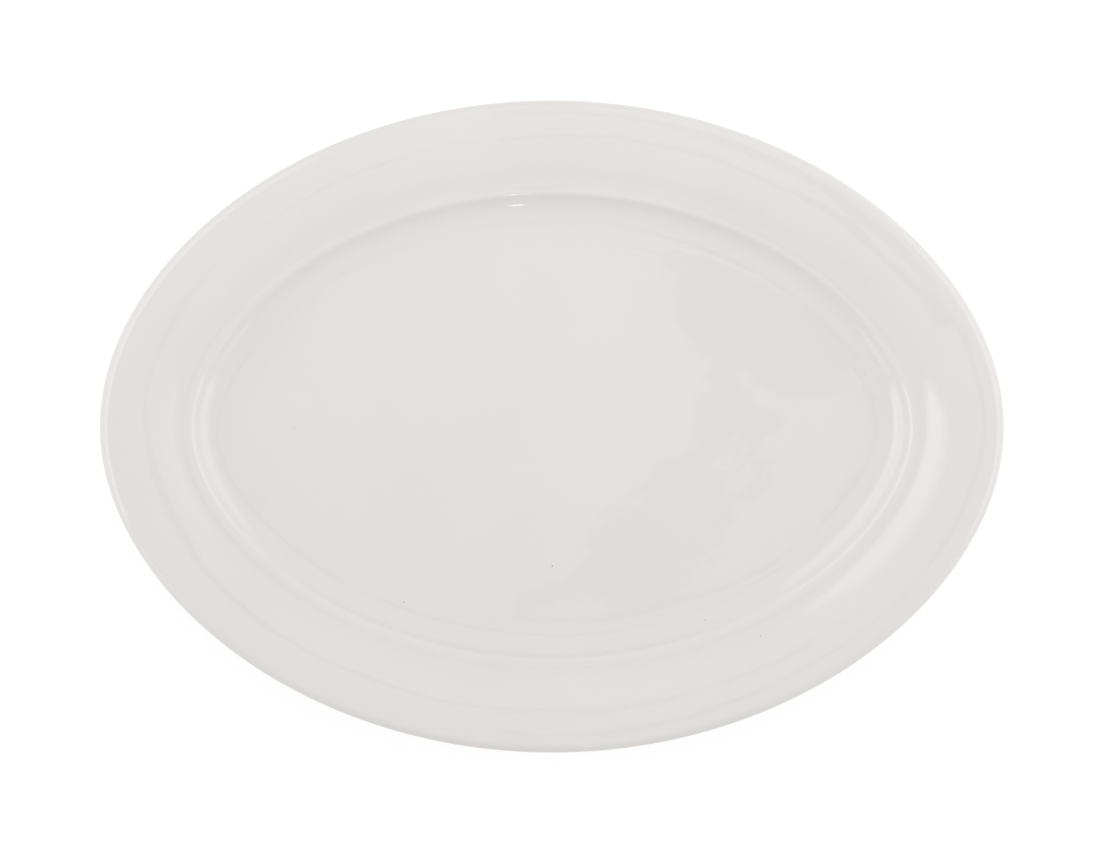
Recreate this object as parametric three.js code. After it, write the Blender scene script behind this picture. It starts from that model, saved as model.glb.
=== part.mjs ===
// Oval serving platter in white glazed porcelain.
// Millimetres, +Z up. The origin is the middle of the plane that the foot stands on. X runs along the
// platter and Y across it.
//
// The platter is a single firing, so nothing on it can be taken off. Three bodies of material make it up:
// the porcelain, the glaze over its face, edge and back, and the glaze in the recess under its base. The
// foot between the two glazes is wiped bare, so that the platter does not stick to the kiln shelf.

import * as THREE from "three";

// Outline, measured over the glazed edge
const LENGTH = 305;
const WIDTH = 220;
const END_RADIUS = 67.5;

// Widths of the curves that follow each other over the face, from the edge to the floor of the well
const EDGE_ROUND = 3.1;
const RIM_CROWN = 21.3;
const RIM_HOLLOW = 5.7;
const CREST = 1.8;
const WALL = 4.9;
const FLOOR_CURVE = 7.5;

// Slopes, in degrees from level, where those curves run into each other
const RIM_SLOPE = 20;
const CREST_SLOPE = 3;
const WALL_SLOPE = 48;
const FLOOR_SLOPE = 14;

// Wall of the rim, and the back from the rim down to the foot
const RIM_THICKNESS = 4.8;
const BACK_RADIUS = 30;
const BACK_SLOPE = 38;

// Base and foot. The setback is from the crest of the rim to the outer side of the foot
const BASE_THICKNESS = 5.5;
const FOOT_HEIGHT = 5;
const FOOT_SETBACK = 6.4;
const FOOT_WIDTH = 5;
const FOOT_DRAFT = 12;
const FOOT_FILLET = 2;
const FOOT_ROUND = 0.8;

// Glaze, and the height above the table at which it stops on the two sides of the foot
const GLAZE_THICKNESS = 0.3;
const GLAZE_LINE = 1.3;

// Facets: stations round the oval, how much they crowd along its flatter sides, and the furthest that a
// chord may stand off an arc of the section
const STATIONS = 56;
const STATION_CROWDING = 0.13;
const CHORD_ERROR = 0.06;

const { degToRad } = THREE.MathUtils;

// A section is seen with the middle of the platter at its left and the edge at reach 0, so reaches are
// negative. A walker goes out over the face, round the edge and back under the base, with the porcelain
// always at the right hand. Headings are in degrees: 0 leads out, 90 up, -90 down and -180 back in.
const OUT = 0;
const DOWN = -90;
const IN = -180;
const FOOT_OUTER_SIDE = DOWN - FOOT_DRAFT;
const FOOT_INNER_SIDE = 2 * IN - FOOT_OUTER_SIDE;

const FLOOR_REACH = -(EDGE_ROUND + RIM_CROWN + RIM_HOLLOW + CREST + WALL + FLOOR_CURVE);
const FLOOR_Z = FOOT_HEIGHT + BASE_THICKNESS;
const FOOT_REACH = -(EDGE_ROUND + RIM_CROWN + RIM_HOLLOW + FOOT_SETBACK);

const sinDeg = (degrees) => Math.sin(degToRad(degrees));
const cosDeg = (degrees) => Math.cos(degToRad(degrees));
const tanDeg = (degrees) => Math.tan(degToRad(degrees));

// Radius of the arc that changes the slope from one value to another within the given width
function arcRadius(width, slopeA, slopeB) {
  return width / Math.abs(sinDeg(slopeA) - sinDeg(slopeB));
}

// How far a fillet of this radius reaches along each of two lines that differ in heading
function filletReach(radius, headingA, headingB) {
  return radius * tanDeg(Math.abs(headingA - headingB) / 2);
}

// Steps of a walk: an arc of a radius that ends on a heading, and a straight run
const turn = (radius, heading) => ({ radius, heading });
const run = (length) => ({ length });

// Points of a walk. Each remembers the heading on which it is passed
function walk(start, steps) {
  const points = [start];
  for (const step of steps) {
    const from = points.at(-1);
    if (step.length !== undefined) {
      points.push({
        reach: from.reach + step.length * cosDeg(from.heading),
        z: from.z + step.length * sinDeg(from.heading),
        heading: from.heading,
      });
      continue;
    }
    const sweep = step.heading - from.heading;
    const bend = Math.sign(sweep) * step.radius;
    const widest = 2 * Math.acos(1 - CHORD_ERROR / step.radius);
    const pieces = Math.ceil(degToRad(Math.abs(sweep)) / widest);
    for (let piece = 1; piece <= pieces; piece++) {
      const heading = from.heading + (sweep * piece) / pieces;
      points.push({
        reach: from.reach + bend * (sinDeg(heading) - sinDeg(from.heading)),
        z: from.z - bend * (cosDeg(heading) - cosDeg(from.heading)),
        heading,
      });
    }
  }
  return points;
}

// The same walk at a depth below the surface, square to it at every point
function sink(points, depth) {
  return points.map(({ reach, z, heading }) => ({
    reach: reach + depth * sinDeg(heading),
    z: z - depth * cosDeg(heading),
    heading,
  }));
}

// How far a walker goes from a point until its line meets a second line
function runToLine(from, point, heading) {
  const across = (point.reach - from.reach) * sinDeg(heading) - (point.z - from.z) * cosDeg(heading);
  return across / sinDeg(heading - from.heading);
}

// Face: the flat floor ends in a soft curve, the wall stands up to a rounded crest, and behind it the rim
// climbs through a shallow hollow and over a long crown that is level again at the edge
const crownRadius = arcRadius(RIM_CROWN, RIM_SLOPE, OUT);
const face = walk({ reach: FLOOR_REACH, z: FLOOR_Z, heading: OUT }, [
  turn(arcRadius(FLOOR_CURVE, OUT, FLOOR_SLOPE), FLOOR_SLOPE),
  turn(arcRadius(WALL, FLOOR_SLOPE, WALL_SLOPE), WALL_SLOPE),
  turn(arcRadius(CREST, WALL_SLOPE, CREST_SLOPE), CREST_SLOPE),
  turn(arcRadius(RIM_HOLLOW, CREST_SLOPE, RIM_SLOPE), RIM_SLOPE),
  turn(crownRadius, OUT),
]);

// Edge and back: the edge is rounded wide above and tight below. The back keeps the rim's thickness under
// the crown, then falls away more steeply to the outer side of the foot
const edgeUnderRound = RIM_THICKNESS - EDGE_ROUND;
const rimBack = walk(face.at(-1), [
  turn(EDGE_ROUND, DOWN),
  turn(edgeUnderRound, IN),
  run(EDGE_ROUND - edgeUnderRound),
  turn(crownRadius - RIM_THICKNESS, IN + RIM_SLOPE),
  turn(BACK_RADIUS, IN + BACK_SLOPE),
]);
const backEnd = rimBack.at(-1);
const footAtTable = { reach: FOOT_REACH, z: 0 };
const backRun = runToLine(backEnd, footAtTable, FOOT_OUTER_SIDE);
const footTopZ = backEnd.z + backRun * sinDeg(backEnd.heading);
const backTrim = filletReach(FOOT_FILLET, backEnd.heading, FOOT_OUTER_SIDE);
const footSide = walk(backEnd, [
  run(backRun - backTrim),
  turn(FOOT_FILLET, FOOT_OUTER_SIDE),
  run((footTopZ - GLAZE_LINE) / cosDeg(FOOT_DRAFT) - backTrim),
]);
const faceAndBack = [...face, ...rimBack.slice(1), ...footSide.slice(1)];

// Base: from the glaze line on the inner side of the foot, through a fillet, to the flat of the recess
const innerTrim = filletReach(FOOT_FILLET, FOOT_INNER_SIDE, IN);
const innerStart = {
  reach: FOOT_REACH - FOOT_WIDTH - GLAZE_LINE * tanDeg(FOOT_DRAFT),
  z: GLAZE_LINE,
  heading: FOOT_INNER_SIDE,
};
const base = walk(innerStart, [
  run((FOOT_HEIGHT - GLAZE_LINE) / cosDeg(FOOT_DRAFT) - innerTrim),
  turn(FOOT_FILLET, IN),
]);

// The porcelain lies one glaze thickness below both surfaces. Its bare foot goes on down from there and
// stands on a flat band with rounded corners
const faceAndBackBody = sink(faceAndBack, GLAZE_THICKNESS);
const baseBody = sink(base, GLAZE_THICKNESS);
const bareTop = faceAndBackBody.at(-1);
const bareTrim = filletReach(FOOT_ROUND, FOOT_OUTER_SIDE, IN);
const bareWidth = bareTop.reach - baseBody[0].reach - 2 * bareTop.z * tanDeg(FOOT_DRAFT);
const bareFoot = walk(bareTop, [
  run(bareTop.z / cosDeg(FOOT_DRAFT) - bareTrim),
  turn(FOOT_ROUND, IN),
  run(bareWidth - 2 * bareTrim),
  turn(FOOT_ROUND, FOOT_INNER_SIDE),
]);

// Outline of the platter. Its distance from the middle, measured square to the outline, swings with the
// direction that the outline faces: twice a turn between half the length and half the width, and four
// times a turn as much as the radius of the ends needs. A negative reach moves the outline in by the same
// distance all round, so the curves of every reach are parallel.
const swing2 = (LENGTH - WIDTH) / 4;
const swing4 = (WIDTH - LENGTH / 2 - END_RADIUS) / 16;
const meanDistance = (LENGTH + WIDTH) / 4 - swing4;
function ovalPoint(facing, reach, z) {
  const distance = meanDistance + swing2 * Math.cos(2 * facing) + swing4 * Math.cos(4 * facing) + reach;
  const slide = -2 * swing2 * Math.sin(2 * facing) - 4 * swing4 * Math.sin(4 * facing);
  return new THREE.Vector3(
    distance * Math.cos(facing) - slide * Math.sin(facing),
    distance * Math.sin(facing) + slide * Math.cos(facing),
    z,
  );
}

// Carries a section round the oval and closes it to the axis at both ends. Each field of the grid is split
// along its shorter diagonal, so two pieces that share a surface share its facets too.
function turnOval(section) {
  const points = section.flatMap(({ reach, z }) =>
    Array.from({ length: STATIONS }, (_, station) => {
      const angle = (2 * Math.PI * station) / STATIONS;
      return ovalPoint(angle + STATION_CROWDING * Math.sin(2 * angle), reach, z);
    }),
  );
  const firstCentre = points.push(new THREE.Vector3(0, 0, section[0].z)) - 1;
  const lastCentre = points.push(new THREE.Vector3(0, 0, section.at(-1).z)) - 1;
  const lastRing = (section.length - 1) * STATIONS;
  const triangles = [];
  for (let station = 0; station < STATIONS; station++) {
    const next = (station + 1) % STATIONS;
    triangles.push(firstCentre, station, next);
    for (let ring = 0; ring < lastRing; ring += STATIONS) {
      const a = ring + station;
      const b = ring + next;
      const c = a + STATIONS;
      const d = b + STATIONS;
      if (points[a].distanceToSquared(points[d]) < points[b].distanceToSquared(points[c])) {
        triangles.push(a, c, d, a, d, b);
      } else {
        triangles.push(a, c, b, b, c, d);
      }
    }
    triangles.push(lastRing + station, lastCentre, lastRing + next);
  }
  return new THREE.BufferGeometry().setFromPoints(points).setIndex(triangles);
}

function makePiece(name, section, finish) {
  const geometry = turnOval(section);
  geometry.computeVertexNormals();
  const mesh = new THREE.Mesh(geometry, new THREE.MeshStandardMaterial({ metalness: 0, ...finish }));
  mesh.name = name;
  return mesh;
}

const glossy = { color: 0xe6e5e2, roughness: 0.07 };
const bisque = { color: 0xdfdbd2, roughness: 0.8 };

const platter = new THREE.Group();
platter.add(
  makePiece("porcelain_body", [...faceAndBackBody, ...bareFoot.slice(1), ...baseBody], bisque),
  makePiece("face_glaze", [...faceAndBack, ...faceAndBackBody.toReversed()], glossy),
  makePiece("base_glaze", [...baseBody.toReversed(), ...base], glossy),
);

export default platter;
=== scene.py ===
# %% [markdown]
# # An oval porcelain platter
# A platter looks simple, and that is what makes it hard: there is no print and no seam to hide behind,
# only a smooth white surface, the way it bends, and the light that slides over it. This lesson works the
# surface out with numpy, closes it into three solid pieces (porcelain, face glaze and base glaze), gives
# each one a finish made of nodes, and lights it like a catalogue picture taken from straight above.

# %% Load the frame
import math

import bpy
import numpy as np
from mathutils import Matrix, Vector


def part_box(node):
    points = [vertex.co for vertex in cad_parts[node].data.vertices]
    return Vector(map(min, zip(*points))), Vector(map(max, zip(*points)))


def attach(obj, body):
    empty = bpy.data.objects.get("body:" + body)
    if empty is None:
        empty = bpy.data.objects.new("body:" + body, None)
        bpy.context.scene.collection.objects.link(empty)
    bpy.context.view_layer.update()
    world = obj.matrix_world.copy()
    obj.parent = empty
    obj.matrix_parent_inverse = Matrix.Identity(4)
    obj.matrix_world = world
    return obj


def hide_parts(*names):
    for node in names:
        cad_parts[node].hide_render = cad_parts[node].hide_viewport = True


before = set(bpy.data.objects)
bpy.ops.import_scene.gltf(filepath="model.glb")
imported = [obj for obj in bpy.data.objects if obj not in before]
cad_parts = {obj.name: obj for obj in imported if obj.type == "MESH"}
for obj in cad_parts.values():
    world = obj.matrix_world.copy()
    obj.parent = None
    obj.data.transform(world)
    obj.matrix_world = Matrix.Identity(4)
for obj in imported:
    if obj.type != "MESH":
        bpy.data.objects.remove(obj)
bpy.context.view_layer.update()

# %% [markdown]
# ## Sizes
# All sizes are in metres, and MM turns millimetres into metres. The face is a chain of curves from the
# floor of the well out to the edge. Each curve has a width, and neighbours share the slope at which they
# meet, so the surface never has a kink. The solids in the frame follow the same chain, and the last lines
# here test that both have the same outline.

# %% Driving sizes
MM = 0.001
LENGTH = 305 * MM
WIDTH = 220 * MM
END_RADIUS = 67.5 * MM

EDGE_ROUND = 3.1 * MM
RIM_CROWN = 21.3 * MM
RIM_HOLLOW = 5.7 * MM
CREST = 1.8 * MM
WALL = 4.9 * MM
FLOOR_CURVE = 7.5 * MM

RIM_SLOPE = math.radians(20)
CREST_SLOPE = math.radians(3)
WALL_SLOPE = math.radians(48)
FLOOR_SLOPE = math.radians(14)

RIM_THICKNESS = 4.8 * MM
BACK_RADIUS = 30 * MM
BACK_SLOPE = math.radians(38)

BASE_THICKNESS = 5.5 * MM
FOOT_HEIGHT = 5 * MM
FOOT_SETBACK = 6.4 * MM
FOOT_WIDTH = 5 * MM
FOOT_DRAFT = math.radians(12)
FOOT_FILLET = 2 * MM
FOOT_ROUND = 0.8 * MM

GLAZE_THICKNESS = 0.3 * MM
GLAZE_LINE = 1.3 * MM

glaze_low, glaze_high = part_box("face_glaze")
print("length and width differ from the solid's by", round(glaze_high.x - glaze_low.x - LENGTH, 6),
      round(glaze_high.y - glaze_low.y - WIDTH, 6), "m")

# %% [markdown]
# ## The oval
# An ellipse would be the first idea, but a platter's rim keeps one width all round, and a curve at a
# constant distance inside an ellipse isn't an ellipse. So the outline is described by the direction it
# faces: its distance from the middle, measured square to itself, swings twice a turn between half the
# length and half the width. Moving in by a distance then only takes that distance off, and every ring is
# parallel to the edge.

# %% Outline function
swing2 = (LENGTH - WIDTH) / 4
swing4 = (WIDTH - LENGTH / 2 - END_RADIUS) / 16
mean_distance = (LENGTH + WIDTH) / 4 - swing4


def oval(facing, reach):
    """Points x, y where the outline, moved out by reach, faces a direction.

    distance = mean + swing2 cos 2f + swing4 cos 4f + reach, and slide is its rate of change with f.
    The point is distance times (cos f, sin f) plus slide times (-sin f, cos f).
    """
    distance = mean_distance + swing2 * np.cos(2 * facing) + swing4 * np.cos(4 * facing) + reach
    slide = -2 * swing2 * np.sin(2 * facing) - 4 * swing4 * np.sin(4 * facing)
    x = distance * np.cos(facing) - slide * np.sin(facing)
    y = distance * np.sin(facing) + slide * np.cos(facing)
    return x, y


STATIONS = 336
STATION_CROWDING = 0.13
station_angles = np.arange(STATIONS) * 2 * np.pi / STATIONS
facings = station_angles + STATION_CROWDING * np.sin(2 * station_angles)
edge_x, edge_y = oval(facings, 0.0)
print("oval half axes in mm:", edge_x.max() / MM, edge_y.max() / MM)

# %% [markdown]
# ## A section drawn by walking
# Picture a walker on the cut face of the platter, who sets out from the floor of the well, goes over the
# crest and the rim, round the edge and back under to the foot. If we know the heading at every step,
# adding up cosines and sines of it gives the path. Arcs change the heading evenly and straight runs keep
# it. A bell shaped average of the headings then does what the glaze does in the kiln: it flows, and
# blends one curve into the next, so that reflections run through without a break.

# %% Walking helpers
WALK_STEP = 0.01 * MM
BELL_REACH = 3
OUT = 0.0
DOWN = -math.pi / 2
IN = -math.pi


def arc_of_width(width, slope_a, slope_b):
    """Length of the arc from slope a to slope b within a width: radius = width / |sin a - sin b|."""
    return width / abs(math.sin(slope_a) - math.sin(slope_b)) * abs(slope_b - slope_a)


def headings_along(start, steps):
    """Headings at even steps of length. Each step is (length, heading at its end), changed evenly."""
    begins = [start] + [heading for _, heading in steps[:-1]]
    stretches = []
    for (length, end), begin in zip(steps, begins):
        count = max(1, round(length / WALK_STEP))
        stretches.append(begin + (end - begin) * (np.arange(count) + 0.5) / count)
    return np.concatenate(stretches)


def soften(headings, width):
    """Bell-shaped running average: weights exp(-d^2 / 2 width^2), with the end values carried on."""
    half = int(BELL_REACH * width / WALK_STEP)
    offsets = np.arange(-half, half + 1) * WALK_STEP
    weights = np.exp(-0.5 * (offsets / width) ** 2)
    return np.convolve(np.pad(headings, half, mode="edge"), weights / weights.sum(), mode="valid")


def path_from(start, headings):
    """Columns reach, height, heading of a path: the running sum of step * (cos h, sin h) from a start."""
    reach = start[0] + np.concatenate([[0.0], np.cumsum(np.cos(headings))]) * WALK_STEP
    height = start[1] + np.concatenate([[0.0], np.cumsum(np.sin(headings))]) * WALK_STEP
    return np.column_stack([reach, height, np.concatenate([headings[:1], headings])])


print("the walker takes", round(MM / WALK_STEP), "steps to the millimetre")

# %% [markdown]
# ## Face and back
# The chain starts at the rim of the flat floor: a long soft curve, the wall, the rounded crest, the
# shallow hollow behind it, and the broad crown of the rim that ends level at the edge. The edge is
# rounded wide above and tight below. The back keeps the thickness of the rim for a while, then falls to
# the foot. The walker stops on the outer side of the foot, at the line where the glaze was wiped away.

# %% Face and back section
GLAZE_FLOW = 0.55 * MM
floor_reach = -(EDGE_ROUND + RIM_CROWN + RIM_HOLLOW + CREST + WALL + FLOOR_CURVE)
floor_height = FOOT_HEIGHT + BASE_THICKNESS
foot_reach = -(EDGE_ROUND + RIM_CROWN + RIM_HOLLOW + FOOT_SETBACK)
foot_outer_side = DOWN - FOOT_DRAFT
foot_inner_side = 2 * IN - foot_outer_side
edge_under_round = RIM_THICKNESS - EDGE_ROUND
crown_radius = RIM_CROWN / math.sin(RIM_SLOPE)

face_steps = [
    (arc_of_width(FLOOR_CURVE, OUT, FLOOR_SLOPE), FLOOR_SLOPE),
    (arc_of_width(WALL, FLOOR_SLOPE, WALL_SLOPE), WALL_SLOPE),
    (arc_of_width(CREST, WALL_SLOPE, CREST_SLOPE), CREST_SLOPE),
    (arc_of_width(RIM_HOLLOW, CREST_SLOPE, RIM_SLOPE), RIM_SLOPE),
    (arc_of_width(RIM_CROWN, RIM_SLOPE, OUT), OUT),
]
back_steps = [
    (EDGE_ROUND * math.pi / 2, DOWN),
    (edge_under_round * math.pi / 2, IN),
    (EDGE_ROUND - edge_under_round, IN),
    ((crown_radius - RIM_THICKNESS) * RIM_SLOPE, IN + RIM_SLOPE),
    (BACK_RADIUS * (BACK_SLOPE - RIM_SLOPE), IN + BACK_SLOPE),
]
back_end = path_from((floor_reach, floor_height), headings_along(OUT, face_steps + back_steps))[-1]


def run_to_foot(point):
    """Length of the straight run from a point, along its heading, to the outer side line of the foot."""
    reach, height, heading = point
    across = (foot_reach - reach) * math.sin(foot_outer_side) + height * math.cos(foot_outer_side)
    return across / math.sin(foot_outer_side - heading)


back_run = run_to_foot(back_end)
foot_top = back_end[1] + back_run * math.sin(back_end[2])
fillet_turn = foot_outer_side - back_end[2]
fillet_reach = FOOT_FILLET * math.tan(fillet_turn / 2)
foot_steps = [
    (back_run - fillet_reach, back_end[2]),
    (FOOT_FILLET * fillet_turn, foot_outer_side),
    ((foot_top - GLAZE_LINE) / math.cos(FOOT_DRAFT) - fillet_reach, foot_outer_side),
]
face_headings = soften(headings_along(OUT, face_steps + back_steps + foot_steps), GLAZE_FLOW)
face_path = path_from((floor_reach, floor_height), face_headings)
face_path[:, 0] -= face_path[:, 0].max()
print("face and back:", len(face_path), "steps, rim height", face_path[:, 1].max() / MM,
      "mm, glaze ends", face_path[-1, 1] / MM, "mm above the table")

# %% [markdown]
# ## Rows where the surface bends
# A mesh should spend its rows where the surface turns. The running sum of (length / flat spacing + turn /
# turn spacing) counts how many rows a stretch deserves; reading it backwards at even steps gives the
# rows.

# %% Choosing rows
FLAT_SPACING = 0.9 * MM
TURN_SPACING = math.radians(3.2)
HIDDEN_FLAT_SPACING = 5 * MM
HIDDEN_TURN_SPACING = math.radians(15)


def choose_rows(path, flat_spacing, turn_spacing):
    """Rows of a path, closer where it turns, as columns reach, height, heading, distance walked."""
    steps = np.hypot(np.diff(path[:, 0]), np.diff(path[:, 1]))
    turns = np.abs(np.diff(path[:, 2]))
    share = np.concatenate([[0.0], np.cumsum(steps / flat_spacing + turns / turn_spacing)])
    walked = np.concatenate([[0.0], np.cumsum(steps)])
    wanted = np.linspace(0.0, share[-1], math.ceil(share[-1]) + 1)
    columns = [path[:, 0], path[:, 1], path[:, 2], walked]
    return np.column_stack([np.interp(wanted, share, column) for column in columns])


def sunk(rows, depth):
    """The same rows at a depth below the surface: each point moves by depth along (sin h, -cos h)."""
    lower = rows.copy()
    lower[:, 0] += depth * np.sin(rows[:, 2])
    lower[:, 1] -= depth * np.cos(rows[:, 2])
    return lower


face_rows = choose_rows(face_path, FLAT_SPACING, TURN_SPACING)
face_core = sunk(choose_rows(face_path, HIDDEN_FLAT_SPACING, HIDDEN_TURN_SPACING), GLAZE_THICKNESS)
print("rows over face and back:", len(face_rows), "shown and", len(face_core), "hidden")

# %% [markdown]
# ## What the kiln does
# No fired platter is as true as its drawing. It settles by a tenth of a millimetre here and there, and
# glossy white shows it: straight reflections come back as slow waves. A few sine waves with unlike
# directions and lengths, added up, give such a drift. It is small enough that no size changes, and it
# fades out on the foot, which is ground flat after the firing.

# %% Slow waves in the surface
DRIFT_WAVES = 9
DRIFT_SHORTEST = 24 * MM
DRIFT_LONGEST = 130 * MM
DRIFT_SLOPE = 0.011
GOLDEN_TURN = math.pi * (3 - math.sqrt(5))

wave_order = np.arange(DRIFT_WAVES)
wave_lengths = DRIFT_LONGEST * (DRIFT_SHORTEST / DRIFT_LONGEST) ** (wave_order / (DRIFT_WAVES - 1))
wave_numbers = 2 * np.pi / wave_lengths
wave_headings = wave_order * GOLDEN_TURN
wave_phases = wave_order ** 2 * GOLDEN_TURN


def settled(points):
    """Points raised by the drift: a sum of sines, equal in their largest slope, that fades on the foot."""
    x, y, z = points[..., 0], points[..., 1], points[..., 2]
    along = (x[..., None] * np.cos(wave_headings) + y[..., None] * np.sin(wave_headings)) * wave_numbers
    drift = (DRIFT_SLOPE / wave_numbers * np.sin(along + wave_phases)).sum(axis=-1) / math.sqrt(DRIFT_WAVES)
    clear_of_foot = np.clip((z - GLAZE_LINE) / FOOT_HEIGHT, 0.0, 1.0)
    raised = points.copy()
    raised[..., 2] = z + drift * clear_of_foot
    return raised


edge_points = np.column_stack([edge_x, edge_y, np.full(STATIONS, floor_height)])
edge_drift = settled(edge_points)[:, 2] - floor_height
print("drift at the edge, in mm, from", edge_drift.min() / MM, "to", edge_drift.max() / MM)

# %% [markdown]
# ## From rows to a closed mesh
# Every piece is a stack of rings. Four neighbours on two rings make a face, the last station meets the
# first, and a single point closes each end of the stack. The faces are index arithmetic on whole arrays.
# A number that is kept for each ring, the distance walked, becomes an attribute that the finishes can
# read.

# %% Mesh builder
PIECES = bpy.data.collections.new("platter")
bpy.context.scene.collection.children.link(PIECES)


def rings_of(rows):
    """Points of all rings, rows by stations by 3: the oval at each row's reach, at the row's height."""
    x, y = oval(facings[None, :], rows[:, 0][:, None])
    z = np.repeat(rows[:, 1][:, None], STATIONS, axis=1)
    return np.stack([x, y, z], axis=-1)


def disc_of(ring, shares):
    """Flat rings between the middle and a ring: the ring's x and y times each share, at its own height."""
    disc = np.asarray(shares)[:, None, None] * ring[None, :, :]
    disc[..., 2] = ring[0, 2]
    return disc


def closed_mesh(name, rings, walked):
    """A closed mesh from a stack of rings that a point in the middle ends above and below.

    Ring r, station s is point r * stations + s; a face joins s and s + 1 on rings r and r + 1.
    """
    count = len(rings)
    poles = np.array([[0.0, 0.0, rings[0, 0, 2]], [0.0, 0.0, rings[-1, 0, 2]]])
    points = settled(np.concatenate([rings.reshape(-1, 3), poles]))
    ring, station = np.meshgrid(np.arange(count - 1), np.arange(STATIONS), indexing="ij")
    after = (station + 1) % STATIONS
    corners = [ring * STATIONS + station, (ring + 1) * STATIONS + station,
               (ring + 1) * STATIONS + after, ring * STATIONS + after]
    quads = np.stack(corners, axis=-1).reshape(-1, 4)
    here = np.arange(STATIONS)
    there = (here + 1) % STATIONS
    last = (count - 1) * STATIONS
    top_fan = np.stack([np.full(STATIONS, len(points) - 2), here, there], axis=-1)
    bottom_fan = np.stack([last + here, np.full(STATIONS, len(points) - 1), last + there], axis=-1)
    mesh = bpy.data.meshes.new(name)
    mesh.from_pydata(points.tolist(), [], quads.tolist() + top_fan.tolist() + bottom_fan.tolist())
    mesh.shade_smooth()
    values = np.concatenate([np.repeat(walked, STATIONS), [walked[0], walked[-1]]])
    mesh.attributes.new("walked", "FLOAT", "POINT").data.foreach_set("value", values.astype(np.float32))
    piece = bpy.data.objects.new(name, mesh)
    PIECES.objects.link(piece)
    print(name, "has", 2 * len(quads) + 2 * STATIONS, "triangles")
    return piece


print("rings of", STATIONS, "points go into the collection", PIECES.name)

# %% [markdown]
# ## The face glaze
# This is the piece that shows. It covers the floor of the well, the face and the back. At its lower end
# the glaze stands on the foot with a round lip, and from there the mesh returns along the porcelain,
# which it touches everywhere, so that the glaze is a true layer with a thickness.

# %% Face glaze piece
LIP_STEPS = 5
DISC_RINGS = 24
DISC_SHARES = np.linspace(0.0, 1.0, DISC_RINGS + 2)[1:-1]
floor_half_width = WIDTH / 2 + floor_reach


def glaze_lip(row, way):
    """Round end of a glaze layer: a quarter circle as wide as the glaze, from its surface to the porcelain.

    way is 1 where the walk ends there and -1 where it starts there.
    """
    turn = np.linspace(0.0, math.pi / 2, LIP_STEPS + 1)[1:]
    ahead = way * np.sin(turn) * GLAZE_THICKNESS
    below = (1 - np.cos(turn)) * GLAZE_THICKNESS
    heading = row[2]
    reach = row[0] + ahead * math.cos(heading) + below * math.sin(heading)
    height = row[1] + ahead * math.sin(heading) - below * math.cos(heading)
    lip = np.column_stack([reach, height, heading - way * turn, row[3] + way * turn * GLAZE_THICKNESS])
    return lip[::way]


face_skin = np.concatenate([face_rows, glaze_lip(face_rows[-1], 1)])
face_rings = rings_of(face_skin)
face_glaze = closed_mesh(
    "glazed_face",
    np.concatenate([disc_of(face_rings[0], DISC_SHARES), face_rings, rings_of(face_core[::-1])]),
    np.concatenate([(DISC_SHARES - 1) * floor_half_width, face_skin[:, 3], face_core[::-1, 3]]),
)
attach(face_glaze, "root")
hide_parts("face_glaze")

# %% [markdown]
# ## The base glaze
# Inside the foot the base is glazed as well. The walker starts at the glaze line on the inner side of the
# foot, climbs through a fillet, and ends on the flat underside. The porcelain lies above this layer, so
# the hidden rings come first and the shining ones last, which keeps all faces pointing outwards.

# %% Base glaze piece
BASE_LEVEL_RUN = 3 * MM
BASE_GLAZE_FLOW = GLAZE_FLOW / 2
inner_turn = IN - foot_inner_side
inner_reach = FOOT_FILLET * math.tan(inner_turn / 2)
base_start = (foot_reach - FOOT_WIDTH - GLAZE_LINE * math.tan(FOOT_DRAFT), GLAZE_LINE)
base_steps = [
    ((FOOT_HEIGHT - GLAZE_LINE) / math.cos(FOOT_DRAFT) - inner_reach, foot_inner_side),
    (FOOT_FILLET * inner_turn, IN),
    (BASE_LEVEL_RUN, IN),
]
base_path = path_from(base_start, soften(headings_along(foot_inner_side, base_steps), BASE_GLAZE_FLOW))
base_rows = choose_rows(base_path, FLAT_SPACING, TURN_SPACING)
base_core = sunk(choose_rows(base_path, HIDDEN_FLAT_SPACING, HIDDEN_TURN_SPACING), GLAZE_THICKNESS)
base_skin = np.concatenate([glaze_lip(base_rows[0], -1), base_rows])
base_rings = rings_of(base_skin)
base_middle = disc_of(base_rings[-1], DISC_SHARES)[::-1]
base_glaze = closed_mesh(
    "glazed_base",
    np.concatenate([rings_of(base_core[::-1]), base_rings, base_middle]),
    np.concatenate([base_core[::-1, 3], base_skin[:, 3], np.full(len(base_middle), base_skin[-1, 3])]),
)
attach(base_glaze, "root")
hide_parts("base_glaze")
print("underside of the base is", base_rows[-1, 1] / MM, "mm above the table")

# %% [markdown]
# ## The porcelain and its bare foot
# Under the glaze lies the porcelain itself. It comes into sight only at the foot, where the platter
# stands: a narrow band, ground flat, with its corners just broken. The rest of this mesh follows the
# hidden side of the two glazes.

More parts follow.
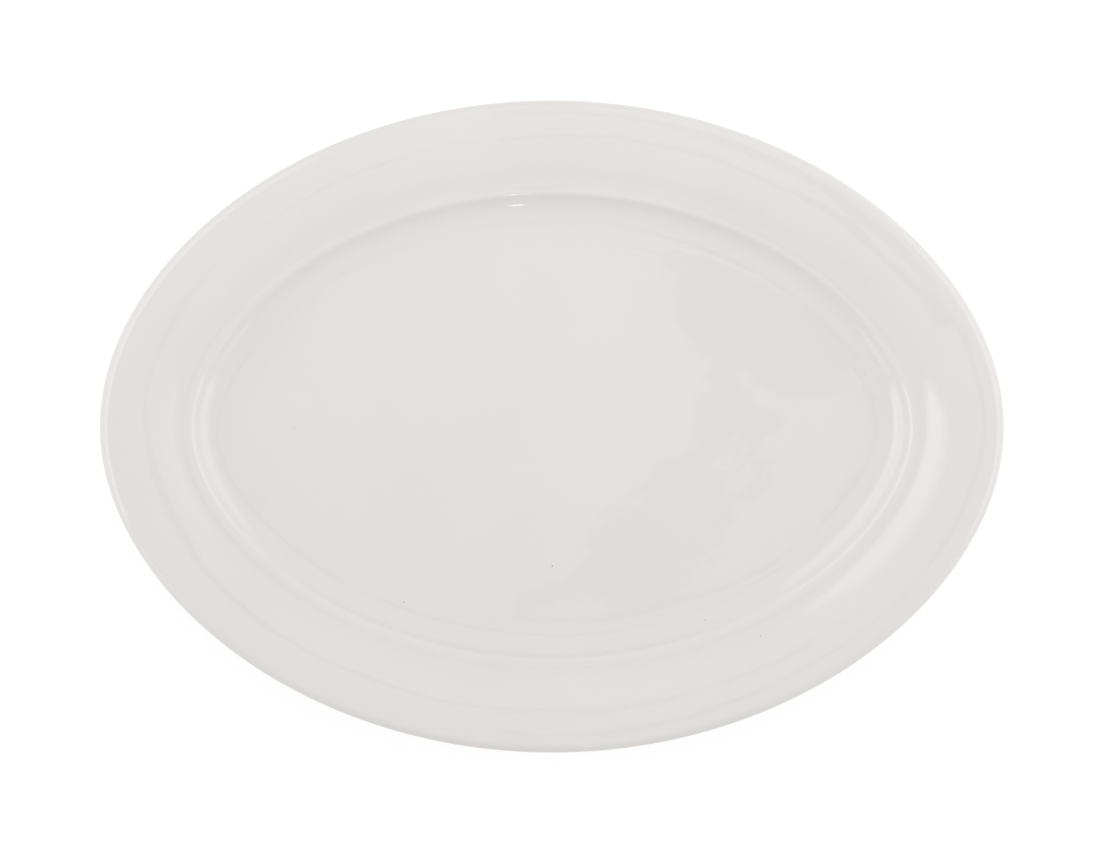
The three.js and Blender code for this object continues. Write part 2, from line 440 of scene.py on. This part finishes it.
# %% Porcelain piece
FOOT_SOFTNESS = 0.1 * MM
BARE_SPACING = 0.25 * MM
bare_top = face_core[-1]
bare_trim = FOOT_ROUND * math.tan((foot_outer_side - IN) / 2)
bare_width = bare_top[0] - base_core[0, 0] - 2 * bare_top[1] * math.tan(FOOT_DRAFT)
bare_steps = [
    (bare_top[1] / math.cos(FOOT_DRAFT) - bare_trim, foot_outer_side),
    (FOOT_ROUND * (foot_outer_side - IN), IN),
    (bare_width - 2 * bare_trim, IN),
    (FOOT_ROUND * (IN - foot_inner_side), foot_inner_side),
    (base_core[0, 1] / math.cos(FOOT_DRAFT) - bare_trim, foot_inner_side),
]
bare_path = path_from(bare_top[:2], soften(headings_along(foot_outer_side, bare_steps), FOOT_SOFTNESS))
bare_path[:, 1] -= bare_path[:, 1].min()
bare_rows = choose_rows(bare_path, BARE_SPACING, TURN_SPACING)
body_rows = np.concatenate([face_core, bare_rows[1:-1], base_core])
porcelain = closed_mesh("porcelain_with_bare_foot", rings_of(body_rows), body_rows[:, 3])
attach(porcelain, "root")
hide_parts("porcelain_body")
print("bare foot stands on a band", (bare_width - 2 * bare_trim) / MM, "mm wide")

# %% [markdown]
# ## A short way to write nodes
# Finishes are built from shader nodes. The first helper makes a node, sets its options and its sockets,
# and links a socket when the value given is another node's output. The others are the steps that every
# finish repeats: noise, a change of range, arithmetic, a blend of two colours and a bump.

# %% Node helpers
def add(tree, kind, sockets=None, **options):
    """A new node of a kind. sockets maps a socket's name or number to a value or another node's output."""
    made = tree.nodes.new("ShaderNode" + kind)
    for name, value in options.items():
        setattr(made, name, value)
    for key, value in (sockets or {}).items():
        if isinstance(value, bpy.types.NodeSocket):
            tree.links.new(value, made.inputs[key])
        else:
            made.inputs[key].default_value = value
    return made


def noise(tree, place, scale, detail, roughness=0.5):
    """Fractal noise at a place: layers that are twice as fine each time and weaken by the roughness."""
    sockets = {"Vector": place, "Scale": scale, "Detail": detail, "Roughness": roughness}
    return add(tree, "TexNoise", sockets).outputs[0]


def remap(tree, value, source, target, **options):
    """A value carried in proportion from a source range to a target range, and held at its ends."""
    sockets = {0: value, 1: source[0], 2: source[1], 3: target[0], 4: target[1]}
    return add(tree, "MapRange", sockets, **options).outputs[0]


def calculate(tree, operation, a, b):
    """One step of arithmetic on two values, such as MULTIPLY for a * b."""
    return add(tree, "Math", {0: a, 1: b}, operation=operation).outputs[0]


def blend(tree, share, first, second, **options):
    """A colour between two, first * (1 - share) + second * share, or another type of blend of them."""
    return add(tree, "Mix", {0: share, 6: first, 7: second}, data_type="RGBA", **options).outputs[2]


def bump(tree, height, distance, strength=1.0, over=None):
    """A surface that shades as if it rose by distance times height, on top of an earlier bump if given."""
    sockets = {"Strength": strength, "Distance": distance, "Height": height}
    if over is not None:
        sockets["Normal"] = over
    return add(tree, "Bump", sockets).outputs[0]


def new_finish(name):
    """An empty node material: its tree, and the shader that everything ends in."""
    material = bpy.data.materials.new(name)
    material.use_nodes = True
    tree = material.node_tree
    tree.nodes.clear()
    shader = add(tree, "BsdfPrincipled")
    add(tree, "OutputMaterial", {"Surface": shader.outputs[0]})
    return material, tree, shader


node_helpers = (add, noise, remap, calculate, blend, bump, new_finish)
print("node helpers:", [helper.__name__ for helper in node_helpers])

# %% [markdown]
# ## The glaze
# White glaze is never one white. Its colour is painted a touch greyer at the foot of the wall, on the wall
# and in the hollow behind the crest, which is painted shade, and a touch lighter on the crest, which is a
# painted highlight. It runs thin over the edge, where the warmer porcelain shows through. A few specks of
# iron burn out as dark dots. Nor does it lie quite level: it settles in slow pools, fine ripples from
# forming on the roller follow the outline, and the finest unevenness is a faint peel. All of it is tied to
# the piece: the distance walked says where on the section a point is, and object coordinates say where on
# the platter.

# %% Painted shade and highlight, and thin glaze, on the face
GLAZE_WHITE = (0.807, 0.794, 0.782)
PLAIN_TONE = (1.0, 1.0, 1.0)
# Painted shade: the rim of the floor, the wall and the hollow behind the crest are made darker. Painted
# highlight: the crest is made lighter. The edge tone is the warmer porcelain under thin glaze.
FLOOR_RIM_PAINTED_SHADE = (0.992, 0.993, 0.994)
WALL_PAINTED_SHADE = (0.996, 0.996, 0.996)
CREST_PAINTED_HIGHLIGHT = (1.011, 1.004, 1.000)
HOLLOW_PAINTED_SHADE = (0.982, 0.986, 0.984)
EDGE_TONE = (1.026, 0.978, 0.976)
FLOOR_RIM_FROM = -4 * MM
FLOOR_RIM_AT = 2 * MM
HOLLOW_SHARE = 0.35
EDGE_TONE_ABOVE = 4.2 * MM
EDGE_TONE_BELOW = 2.4 * MM

edge_index = int(np.argmax(face_rows[:, 0]))
edge_walked = float(face_rows[edge_index, 3])
crest_reach = -(EDGE_ROUND + RIM_CROWN + RIM_HOLLOW)


def walked_at_reach(reach):
    """Distance walked over the face to a reach, read off the rows between the floor and the edge."""
    return float(np.interp(reach, face_rows[:edge_index, 0], face_rows[:edge_index, 3]))


hollow_middle = walked_at_reach(crest_reach + HOLLOW_SHARE * RIM_HOLLOW)
# Tones along the walk: painted shade at the floor's rim, on the wall and in the hollow, a painted highlight
# on the crest, and the warmer edge.
FACE_TONES_AND_PAINTED_SHADE = [
    (FLOOR_RIM_FROM, PLAIN_TONE),
    (FLOOR_RIM_AT, FLOOR_RIM_PAINTED_SHADE),
    (walked_at_reach(crest_reach - 2 * CREST), WALL_PAINTED_SHADE),
    (walked_at_reach(crest_reach), CREST_PAINTED_HIGHLIGHT),
    (hollow_middle, HOLLOW_PAINTED_SHADE),
    (walked_at_reach(crest_reach + 2 * RIM_HOLLOW), PLAIN_TONE),
    (edge_walked - EDGE_TONE_ABOVE, PLAIN_TONE),
    (edge_walked, EDGE_TONE),
    (edge_walked + EDGE_TONE_BELOW, PLAIN_TONE),
]
print("hollow at", hollow_middle / MM, "mm and edge at", edge_walked / MM, "mm of the walk")

# %% Thin glaze and painted shade on the base
BASE_LIP_TONE = (0.985, 0.970, 0.955)
# Painted shade: the fillet where the foot meets the base is made darker. The lip's warmer tone is thin
# glaze over the porcelain.
BASE_FILLET_PAINTED_SHADE = (0.986, 0.988, 0.988)
BASE_LIP_END = 1.2 * MM
BASE_FILLET_AT = 2.4 * MM
BASE_FILLET_END = 6 * MM

BASE_TONES_AND_PAINTED_SHADE = [
    (0.0, BASE_LIP_TONE),
    (BASE_LIP_END, PLAIN_TONE),
    (BASE_FILLET_AT, BASE_FILLET_PAINTED_SHADE),
    (BASE_FILLET_END, PLAIN_TONE),
]
print("tones:", len(FACE_TONES_AND_PAINTED_SHADE), "on the face and", len(BASE_TONES_AND_PAINTED_SHADE), "on the base")

# %% Specks of iron in the glaze
# Each speck has its x, its y and its radius in millimetres
FACE_SPECKS = [
    (-87.3, -0.3, 0.20), (-50.2, -59.5, 0.24), (0.1, -47.3, 0.26),
    (51.8, -65.5, 0.20), (-103.5, -60.5, 0.16), (70.4, -70.6, 0.20),
    (16.3, -73.9, 0.13), (-88.9, 58.6, 0.13), (-70.5, 52.0, 0.12),
    (134.8, 41.7, 0.12), (-14.5, -61.9, 0.11),
]
BASE_SPECKS = [(38.0, 21.0, 0.35), (-61.0, -12.0, 0.40)]
SPECK_COLOUR = (0.10, 0.085, 0.075, 1.0)
SPECK_CORE = 0.35
KEEP_X_AND_Y = (1.0, 1.0, 0.0)


def speck_mask(tree, coords, specks):
    """1 inside a speck and 0 outside: the flat distance to each, stepped softly, and the largest kept."""
    flat = add(tree, "VectorMath", {0: coords, 1: KEEP_X_AND_Y}, operation="MULTIPLY").outputs[0]
    mask = None
    for x, y, radius in specks:
        middle = (x * MM, y * MM, 0.0)
        away = add(tree, "VectorMath", {0: flat, 1: middle}, operation="DISTANCE").outputs["Value"]
        border = (SPECK_CORE * radius * MM, radius * MM)
        dot = remap(tree, away, border, (1.0, 0.0), interpolation_type="SMOOTHSTEP")
        mask = dot if mask is None else calculate(tree, "MAXIMUM", mask, dot)
    return mask


print("specks:", len(FACE_SPECKS), "on the face and", len(BASE_SPECKS), "on the base")

# %% Pinholes in the glaze
PINHOLES_PER_METRE = 130.0
PINHOLE_THRESHOLD = 0.87
PINHOLE_BORDER = (0.012, 0.03)
PINHOLE_SHARE = 0.22
PINHOLE_COLOUR = (0.22, 0.20, 0.18, 1.0)


def pinholes(tree, coords):
    """Faint dots near the points of those Voronoi cells whose random colour is high, about one in eight."""
    cells = add(tree, "TexVoronoi", {"Vector": coords, "Scale": PINHOLES_PER_METRE})
    chance = add(tree, "SeparateColor", {0: cells.outputs["Color"]}).outputs[0]
    chosen = calculate(tree, "GREATER_THAN", chance, PINHOLE_THRESHOLD)
    dot = remap(tree, cells.outputs["Distance"], PINHOLE_BORDER, (PINHOLE_SHARE, 0.0))
    return calculate(tree, "MULTIPLY", chosen, dot)


print("pinholes: cells of", 1 / PINHOLES_PER_METRE / MM, "mm, dots up to", PINHOLE_BORDER[1], "of a cell")

# %% Pools, ripples and peel
NOISE_DETAIL = 3.0
POOL_HEIGHT = 0.09 * MM
POOLS_PER_METRE = 55.0
RIPPLE_HEIGHT = 0.045 * MM
RIPPLES_PER_METRE_ROUND = 16.0
RIPPLES_PER_METRE_ACROSS = 420.0
RIPPLE_START = (-12 * MM, -1 * MM)
RIPPLE_ON_FLOOR = 0.05
RIPPLE_PATCH_BORDER = (0.42, 0.58)
RIPPLE_PATCH_SHARES = (0.2, 1.2)
PEEL_HEIGHT = 0.007 * MM
PEEL_PER_METRE = 260.0


def uneven_glaze(tree, coords, walked, mottle):
    """Three bumps, one on the other: slow pools, ripples along the outline in patches, and fine peel.

    Ripples are noise at (x, y) times a small number and at the distance walked times a large one, which
    makes them long round the platter and short across it. They fade to a trace on the floor of the well.
    """
    axes = add(tree, "SeparateXYZ", {0: coords})
    ripple_place = add(tree, "CombineXYZ", {
        0: calculate(tree, "MULTIPLY", axes.outputs[0], RIPPLES_PER_METRE_ROUND),
        1: calculate(tree, "MULTIPLY", axes.outputs[1], RIPPLES_PER_METRE_ROUND),
        2: calculate(tree, "MULTIPLY", walked, RIPPLES_PER_METRE_ACROSS),
    }).outputs[0]
    off_floor = remap(tree, walked, RIPPLE_START, (RIPPLE_ON_FLOOR, 1.0))
    patches = remap(tree, mottle, RIPPLE_PATCH_BORDER, RIPPLE_PATCH_SHARES)
    ripple_share = calculate(tree, "MULTIPLY", off_floor, patches)
    pooled = bump(tree, noise(tree, coords, POOLS_PER_METRE, NOISE_DETAIL), POOL_HEIGHT)
    rippled = bump(tree, noise(tree, ripple_place, 1.0, NOISE_DETAIL), RIPPLE_HEIGHT, ripple_share, pooled)
    return bump(tree, noise(tree, coords, PEEL_PER_METRE, NOISE_DETAIL), PEEL_HEIGHT, over=rippled)


print("heights in mm: pools", POOL_HEIGHT / MM, "ripples", RIPPLE_HEIGHT / MM, "peel", PEEL_HEIGHT / MM)

# %% Glaze finish
MOTTLES_PER_METRE = 28.0
MOTTLE_BORDER = (0.25, 0.75)
MOTTLE_TONES = (0.988, 1.006)
GLOSS_BORDER = (0.2, 0.8)
GLOSS_ROUGHNESS = (0.022, 0.045)
GLAZE_IOR = 1.54
RAMP_MIDDLE = 0.5


def tone_ramp(tree, walked, tones):
    """Colour factor along the section: a smooth ramp through the tones, at their distances walked."""
    first, last = tones[0][0], tones[-1][0]
    ramp = add(tree, "ValToRGB", {0: remap(tree, walked, (first, last), (0.0, 1.0))})
    ramp.color_ramp.interpolation = "EASE"
    stops = ramp.color_ramp.elements
    while len(stops) < len(tones):
        stops.new(RAMP_MIDDLE)
    for stop, (distance, tone) in zip(stops, tones):
        stop.position = (distance - first) / (last - first)
        stop.color = (*tone, 1.0)
    return ramp.outputs[0]


def glaze_finish(name, tones, specks):
    """Glossy glaze: white * tone along the section, which holds painted shade and a painted highlight, *
    slow mottling, then pinholes, specks and bumps.
    """
    material, tree, shader = new_finish(name)
    coords = add(tree, "TexCoord").outputs["Object"]
    walked = add(tree, "Attribute", attribute_name="walked").outputs["Fac"]
    mottle = noise(tree, coords, MOTTLES_PER_METRE, NOISE_DETAIL)
    mottle_tone = remap(tree, mottle, MOTTLE_BORDER, MOTTLE_TONES)
    # The tone ramp paints shade onto the hollow, the wall and its foot, and onto the base's fillet, and a
    # highlight onto the crest.
    toned_and_shaded = blend(tree, 1.0, (*GLAZE_WHITE, 1.0), tone_ramp(tree, walked, tones), blend_type="MULTIPLY")
    mottled = add(tree, "VectorMath", {0: toned_and_shaded, 3: mottle_tone}, operation="SCALE").outputs[0]
    pitted = blend(tree, pinholes(tree, coords), mottled, PINHOLE_COLOUR)
    colour = blend(tree, speck_mask(tree, coords, specks), pitted, SPECK_COLOUR)
    gloss = remap(tree, mottle, GLOSS_BORDER, GLOSS_ROUGHNESS)
    tree.links.new(colour, shader.inputs["Base Color"])
    tree.links.new(gloss, shader.inputs["Roughness"])
    tree.links.new(uneven_glaze(tree, coords, walked, mottle), shader.inputs["Normal"])
    shader.inputs["IOR"].default_value = GLAZE_IOR
    return material


face_glaze.data.materials.append(glaze_finish("glaze_on_face", FACE_TONES_AND_PAINTED_SHADE, FACE_SPECKS))
base_glaze.data.materials.append(glaze_finish("glaze_on_base", BASE_TONES_AND_PAINTED_SHADE, BASE_SPECKS))
print("glaze finishes:", [m.name for m in bpy.data.materials if m.name.startswith("glaze")])

# %% [markdown]
# ## Bare porcelain
# Unglazed porcelain is matt, slightly warm and very fine in grain. Grinding leaves a soft sparkle of
# pores, and the tables and shelves that it has stood on leave grey traces, where it is also rubbed a
# little smoother. Noise at two scales gives both.

# %% Bare porcelain finish
BARE_WHITE = (0.735, 0.705, 0.650, 1.0)
BARE_GREY = (0.560, 0.540, 0.510, 1.0)
TRACES_PER_METRE = 160.0
TRACE_DETAIL = 5.0
TRACE_RAGGEDNESS = 0.65
TRACE_BORDER = (0.5, 0.8)
TRACE_SHARE = 0.6
RUBBED_BORDER = (0.3, 0.7)
RUBBED_ROUGHNESS = (0.82, 0.62)
GRAINS_PER_METRE = 3200.0
GRAIN_DETAIL = 2.0
GRAIN_HEIGHT = 0.012 * MM
GRAIN_SHARE = 0.6


def bare_finish(name):
    """Matt porcelain: one noise blends its white to grey and its roughness to smoother; grain is a bump."""
    material, tree, shader = new_finish(name)
    coords = add(tree, "TexCoord").outputs["Object"]
    traces = noise(tree, coords, TRACES_PER_METRE, TRACE_DETAIL, TRACE_RAGGEDNESS)
    grain = noise(tree, coords, GRAINS_PER_METRE, GRAIN_DETAIL)
    colour = blend(tree, remap(tree, traces, TRACE_BORDER, (0.0, TRACE_SHARE)), BARE_WHITE, BARE_GREY)
    rubbed = remap(tree, traces, RUBBED_BORDER, RUBBED_ROUGHNESS)
    tree.links.new(colour, shader.inputs["Base Color"])
    tree.links.new(rubbed, shader.inputs["Roughness"])
    tree.links.new(bump(tree, grain, GRAIN_HEIGHT, GRAIN_SHARE), shader.inputs["Normal"])
    return material


porcelain.data.materials.append(bare_finish("bare_porcelain"))
print("finish of the porcelain:", porcelain.data.materials[0].name)

# %% [markdown]
# ## Floor and surroundings
# The platter lies on white, as in a catalogue. Light Path tells which kind of ray asks: for the camera
# and for reflections the floor and the world are white, while the light that falls on the platter is set
# by itself. The floor still takes part of its brightness from the lamps, so the platter keeps a soft
# shadow on it.

# %% White floor
FLOOR_SIZE = 8.0
FLOOR_GAP = 0.05 * MM
FLOOR_GLOW = 0.86
FLOOR_TAKES_LIGHT = 0.20
FLOOR_BOUNCE = 0.9
WHITE = (1.0, 1.0, 1.0, 1.0)


def grey(value):
    """A colour with the same red, green and blue."""
    return (value, value, value, 1.0)


def seen_ray(tree):
    """1 for camera, glossy and transmission rays, which look at the background, and 0 for bounced light."""
    path = add(tree, "LightPath").outputs
    mirrored = calculate(tree, "MAXIMUM", path["Is Camera Ray"], path["Is Glossy Ray"])
    return calculate(tree, "MAXIMUM", mirrored, path["Is Transmission Ray"])


def floor_finish():
    """White floor: a glow plus a share of the light where it is seen, and a plain pale one for bounces."""
    material = bpy.data.materials.new("white_floor")
    material.use_nodes = True
    tree = material.node_tree
    tree.nodes.clear()
    glow = add(tree, "Emission", {"Color": WHITE, "Strength": FLOOR_GLOW}).outputs[0]
    lit = add(tree, "BsdfDiffuse", {"Color": grey(FLOOR_TAKES_LIGHT)}).outputs[0]
    shown = add(tree, "AddShader", {0: glow, 1: lit}).outputs[0]
    bounce = add(tree, "BsdfDiffuse", {"Color": grey(FLOOR_BOUNCE)}).outputs[0]
    surface = add(tree, "MixShader", {0: seen_ray(tree), 1: bounce, 2: shown}).outputs[0]
    add(tree, "OutputMaterial", {"Surface": surface})
    return material


half_floor = FLOOR_SIZE / 2
corner_signs = ((-1, -1), (1, -1), (1, 1), (-1, 1))
floor_corners = [(x * half_floor, y * half_floor, -FLOOR_GAP) for x, y in corner_signs]
floor_mesh = bpy.data.meshes.new("floor")
floor_mesh.from_pydata(floor_corners, [], [(0, 1, 2, 3)])
floor = bpy.data.objects.new("floor", floor_mesh)
bpy.context.scene.collection.objects.link(floor)
floor.data.materials.append(floor_finish())
print("floor of", FLOOR_SIZE, "m with a glow of", FLOOR_GLOW)

# %% White room
AMBIENT = 0.723

world = bpy.data.worlds.new("white_room")
bpy.context.scene.world = world
world.use_nodes = True
room = world.node_tree
room.nodes.clear()
room_seen = add(room, "Background", {"Color": WHITE, "Strength": 1.0}).outputs[0]
room_light = add(room, "Background", {"Color": WHITE, "Strength": AMBIENT}).outputs[0]
room_mix = add(room, "MixShader", {0: seen_ray(room), 1: room_light, 2: room_seen}).outputs[0]
add(room, "OutputWorld", {"Surface": room_mix})
print("light from the room:", AMBIENT)

# %% [markdown]
# ## Lamps for the light
# Most of the light comes evenly from the room. One wide lamp on the far side makes the near wall a little
# brighter than the far one, and two low lamps off the left and right ends light the steep curves there.

# %% Three round lamps
LAMP_SIZE_SHARE = 0.6


def direction(azimuth, zenith):
    """Unit vectors, as whole arrays: azimuth in degrees from +x towards +y, zenith in degrees off +z.

    For an azimuth a and a zenith t the vector is (cos a sin t, sin a sin t, cos t).
    """
    turn = np.radians(azimuth)
    lean = np.radians(zenith)
    return np.stack([np.cos(turn) * np.sin(lean), np.sin(turn) * np.sin(lean), np.cos(lean)], axis=-1)


def round_lamp(name, azimuth, zenith, distance, light):
    """A round lamp that lights a surface square to it by a given share. It is left out of the gloss.

    Its power is light * pi^2 * distance^2.
    """
    lamp = bpy.data.lights.new(name, "AREA")
    lamp.shape = "DISK"
    lamp.size = LAMP_SIZE_SHARE * distance
    lamp.energy = light * math.pi ** 2 * distance ** 2
    holder = bpy.data.objects.new(name, lamp)
    toward = Vector(direction(azimuth, zenith))
    holder.location = toward * distance
    holder.rotation_euler = toward.to_track_quat("Z", "Y").to_euler()
    holder.visible_camera = False
    holder.visible_glossy = False
    bpy.context.scene.collection.objects.link(holder)
    return holder


far_lamp = round_lamp("far_lamp", azimuth=82, zenith=32, distance=0.6, light=0.16)
left_lamp = round_lamp("left_lamp", azimuth=180, zenith=76, distance=1.3, light=0.19)
right_lamp = round_lamp("right_lamp", azimuth=2, zenith=76, distance=1.3, light=0.21)
print("lamps in watts:", [round(lamp.data.energy, 2) for lamp in (far_lamp, left_lamp, right_lamp)])

# %% [markdown]
# ## What the gloss mirrors
# Gloss shows more than light and shade: a lamp is mirrored where the slope halves the angle between the
# camera and the lamp. So softboxes that stand from 18 to 74 degrees off the vertical come back as a band
# on the rim, a thin line on the crest and a band at the foot of the wall. They are made for the gloss
# alone. At their borders they are as bright as the white room, and inside they differ from it: those at
# the left and right are brighter, a shade at the far side is darker, and a small, strong lamp makes the
# glint on the far wall.

# %% Surfaces that only the gloss sees
def gloss_only(name, points, quads, glow):
    """A glowing surface that only reflections see. Its strength is an attribute of the mesh, glow."""
    mesh = bpy.data.meshes.new(name)
    mesh.from_pydata(points.reshape(-1, 3).tolist(), [], quads.tolist())
    mesh.attributes.new("glow", "FLOAT", "POINT").data.foreach_set("value", glow.ravel().astype(np.float32))
    material = bpy.data.materials.new(name)
    material.use_nodes = True
    tree = material.node_tree
    tree.nodes.clear()
    strength = add(tree, "Attribute", attribute_name="glow").outputs["Fac"]
    light = add(tree, "Emission", {"Strength": strength}).outputs[0]
    add(tree, "OutputMaterial", {"Surface": light})
    material.cycles.emission_sampling = "NONE"
    mesh.materials.append(material)
    holder = bpy.data.objects.new(name, mesh)
    for sense in ("camera", "diffuse", "transmission", "shadow"):
        setattr(holder, "visible_" + sense, False)
    bpy.context.scene.collection.objects.link(holder)
    return holder


def grid_quads(rows, columns):
    """Faces of a grid of points: a, a + 1, a + 1 + columns, a + columns for each a but the last ones."""
    row, column = np.meshgrid(np.arange(rows - 1), np.arange(columns - 1), indexing="ij")
    first = (row * columns + column).ravel()
    return np.stack([first, first + 1, first + 1 + columns, first + columns], axis=-1)


def soft_step(value, begin, end):
    """0 at begin, 1 at end, and 3 t^2 - 2 t^3 between."""
    share = np.clip((value - begin) / (end - begin), 0.0, 1.0)
    return share * share * (3 - 2 * share)


print("a soft step half way up:", soft_step(0.5, 0.0, 1.0))

# %% Softboxes
GLOSS_DISTANCE = 2.2
GLOSS_GRID = 64
CORNER_DROP = 13
NOT_DIMMED = (45, 90, 1.0)


def softbox(name, azimuths, zeniths, radiance, fades, tilt=0.0, dimmed=NOT_DIMMED):
    """A curved lamp over a range of azimuth and zenith: 1 at its borders, its radiance inside.

    Its top corners are round: u runs from -1 to 1 across, and the top border sinks by CORNER_DROP * u^4.
    fades are the degrees over which it changes from the sides, from the top and from the bottom. tilt makes
    one side of it stronger than the other, by tilt * u, and dimmed is the range of zenith over which its
    light falls to a share.
    """
    azimuth, zenith = np.meshgrid(np.linspace(*azimuths, GLOSS_GRID), np.linspace(*zeniths, GLOSS_GRID))
    side, top, bottom = fades
    u = (2 * azimuth - azimuths[0] - azimuths[1]) / (azimuths[1] - azimuths[0])
    top_border = zeniths[0] + CORNER_DROP * u ** 4
    inside = soft_step(azimuth, azimuths[0], azimuths[0] + side)
    inside = inside * soft_step(azimuth, azimuths[1], azimuths[1] - side)
    inside = inside * soft_step(zenith, top_border, top_border + top)
    inside = inside * soft_step(zenith, zeniths[1], zeniths[1] - bottom)
    dim_from, dim_to, dim_share = dimmed
    inside = inside * (1.0 - (1.0 - dim_share) * soft_step(zenith, dim_from, dim_to))
    glow = 1.0 + (radiance - 1.0) * inside * (1.0 + tilt * u)
    points = GLOSS_DISTANCE * direction(azimuth, zenith)
    return gloss_only(name, points, grid_quads(GLOSS_GRID, GLOSS_GRID), glow)


gloss_lamps = [
    softbox("left_softbox", azimuths=(115, 206), zeniths=(18.5, 74), radiance=2.5, fades=(5, 10, 16),
            tilt=0.4, dimmed=(36, 44, 0.7)),
    softbox("right_softbox", azimuths=(-29, 48), zeniths=(19, 74), radiance=2.0, fades=(5, 24, 16),
            tilt=-0.25),
    softbox("near_left_wall", azimuths=(206, 226), zeniths=(42, 74), radiance=1.8, fades=(5, 10, 16)),
    softbox("near_right_wall", azimuths=(-48, -29), zeniths=(42, 74), radiance=1.6, fades=(5, 10, 16)),
    softbox("far_shade", azimuths=(48, 115), zeniths=(58, 89), radiance=0.5, fades=(14, 28, 1)),
    softbox("lamp_glint", azimuths=(273.3, 274.4), zeniths=(48, 56), radiance=7.0, fades=(0.2, 2, 2)),
]
print("seen in the gloss:", [piece.name for piece in gloss_lamps])

# %% [markdown]
# ## The dark arm above
# Something dark hangs above the platter, perhaps the arm that carries the camera, and the glaze mirrors
# it: right of the middle a deeper shape crosses the floor of the well, with borders that wander because
# the floor isn't quite even, and on the rim the same shape comes back as thin streaks. It is a flat card
# that only the gloss sees, given by its two borders. From the far side to the near one it has a broad
# bracket, a neck, and an arm that widens towards the near left.

# %% Dark arm
ARM_HEIGHT = 0.8
ARM_GLOW = 0.5
# x and y in millimetres, from the far end of the card to the near one
ARM_LEFT_BORDER = [
    (-30, 150), (0, 110), (52, 95), (90, 22),
    (89, 18), (84, -18), (28, -50), (-40, -96),
]
ARM_RIGHT_BORDER = [
    (100, 150), (130, 110), (150, 95), (150, 22),
    (114, 18), (118, -12), (78, -56), (52, -100),
]

arm_plan = np.stack([ARM_LEFT_BORDER, ARM_RIGHT_BORDER], axis=1) * MM
arm_grid = arm_plan.shape[:2]
arm_points = np.concatenate([arm_plan, np.full((*arm_grid, 1), ARM_HEIGHT)], axis=-1)
arm = gloss_only("dark_arm", arm_points, grid_quads(*arm_grid), np.full(arm_grid, ARM_GLOW))
print("dark arm:", len(arm.data.polygons), "faces at", ARM_HEIGHT, "m")

# %% [markdown]
# ## Camera
# The picture is taken from straight above with a long lens. The platter's length in the picture, in
# pixels, gives the scale, and the place of its middle gives the small offset of the camera.

# %% Camera
PHOTO_WIDTH = 1105
PHOTO_HEIGHT = 854
PLATTER_PIXELS = 904.0
PLATTER_MIDDLE = (551.9, 426.6)
CAMERA_HEIGHT = 1.6
SENSOR_WIDTH = 36.0

pixel = LENGTH / PLATTER_PIXELS
edge_height = face_rows[edge_index, 1]
lens_data = bpy.data.cameras.new("camera")
lens_data.sensor_fit = "HORIZONTAL"
lens_data.sensor_width = SENSOR_WIDTH
lens_data.lens = SENSOR_WIDTH * (CAMERA_HEIGHT - edge_height) / (PHOTO_WIDTH * pixel)
camera = bpy.data.objects.new("camera", lens_data)
camera.location = (
    (PHOTO_WIDTH / 2 - PLATTER_MIDDLE[0]) * pixel,
    (PLATTER_MIDDLE[1] - PHOTO_HEIGHT / 2) * pixel,
    CAMERA_HEIGHT,
)
bpy.context.scene.collection.objects.link(camera)
bpy.context.scene.camera = camera
bpy.context.scene.view_settings.view_transform = "Standard"
print("lens", lens_data.lens, "mm, one pixel is", pixel / MM, "mm")
